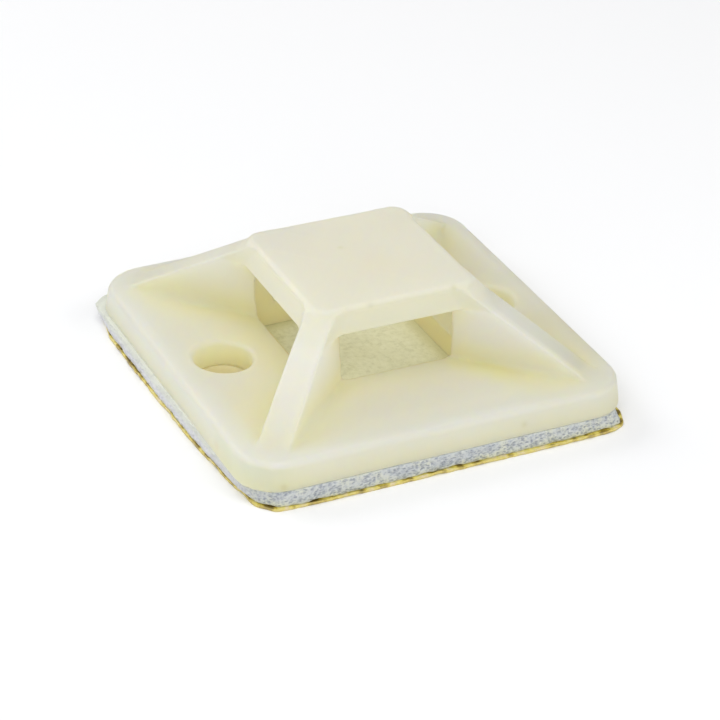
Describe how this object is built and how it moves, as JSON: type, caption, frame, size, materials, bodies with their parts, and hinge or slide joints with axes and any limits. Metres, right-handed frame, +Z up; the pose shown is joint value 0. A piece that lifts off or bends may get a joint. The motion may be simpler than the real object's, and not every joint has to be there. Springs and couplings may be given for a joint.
{
  "type": "self-adhesive cable tie mount",
  "caption": "Square moulded nylon cable tie mount with a raised bridge on diagonal ribs, entry for the tie from every side, plain screw holes, and an adhesive foam pad with its release liner.",
  "frame": {"origin": "centre of the release liner's underside, below the middle of the bridge", "axes": "+Z up, away from the surface that the mount sticks to; the screw holes lie on the X axis; X and Y run square to the base's sides"},
  "size_m": [0.0288, 0.0288, 0.0087],
  "materials": {
    "natural_nylon": "natural milky nylon, slightly see-through, satin",
    "tape_foam": "pale blue-grey open-celled cut edge, tacky top",
    "liner_paper": "golden yellow coated paper, crinkled at its edge"
  },
  "bodies": {
    "root": {"mount_body": "natural_nylon", "foam_pad": "tape_foam", "release_liner": "liner_paper"}
  },
  "joints": []
}
